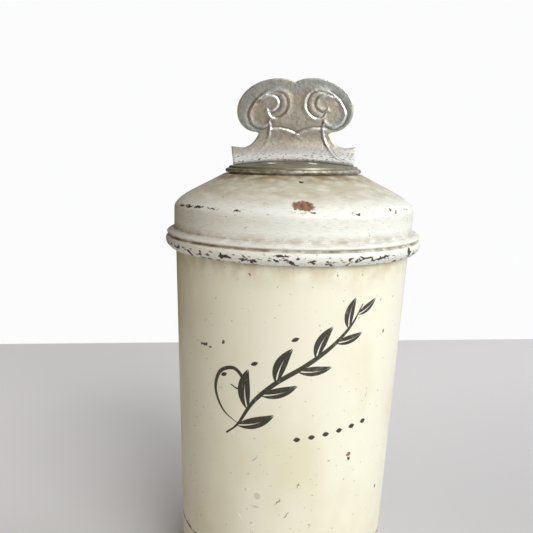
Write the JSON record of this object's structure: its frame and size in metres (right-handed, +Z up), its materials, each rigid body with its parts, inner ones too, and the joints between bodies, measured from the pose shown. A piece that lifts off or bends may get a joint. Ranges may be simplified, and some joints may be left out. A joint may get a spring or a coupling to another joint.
{
  "type": "talcum powder tin",
  "caption": "Tapered tinplate powder tin with a lift-off domed lid and a quarter-turn sifter cap worked by an ornamental thumb piece.",
  "frame": {"origin": "centre of the bottom seam's foot, on the surface the tin stands on", "axes": "+Z up along the tin's axis, -Y towards the printed front, +X to the right seen from the front"},
  "size_m": [0.062, 0.062, 0.127],
  "materials": {
    "cream_paint": "aged cream enamel on tinplate, lightly stained and scratched",
    "lid_paint": "aged off-white enamel, chipped on the beads and the shoulder",
    "bare_tinplate": "dull bare tinplate",
    "tarnished_tinplate": "dark tarnished tinplate",
    "pewter": "worn grey white metal with a satin sheen",
    "steel": "plain sheet and wire steel, dull"
  },
  "bodies": {
    "tin_body": {"body_wall": "cream_paint", "bottom_end": "bare_tinplate"},
    "lid": {"lid_dome": "lid_paint"},
    "turn_cap": {"turn_disc": "tarnished_tinplate", "handle_front": "pewter", "handle_back": "pewter", "pivot_rivet": "steel", "spring_washer": "steel", "stop_washer": "steel"}
  },
  "joints": [
    {"name": "lid_lift", "type": "slide", "parent": "tin_body", "child": "lid", "axis": [0, 0, 1], "range_m": [0, 0.03]},
    {"name": "cap_turn", "type": "hinge", "parent": "lid", "child": "turn_cap", "pos_m": [0, 0, 0.1], "axis": [0, 0, 1], "range_deg": [0, 90]}
  ]
}
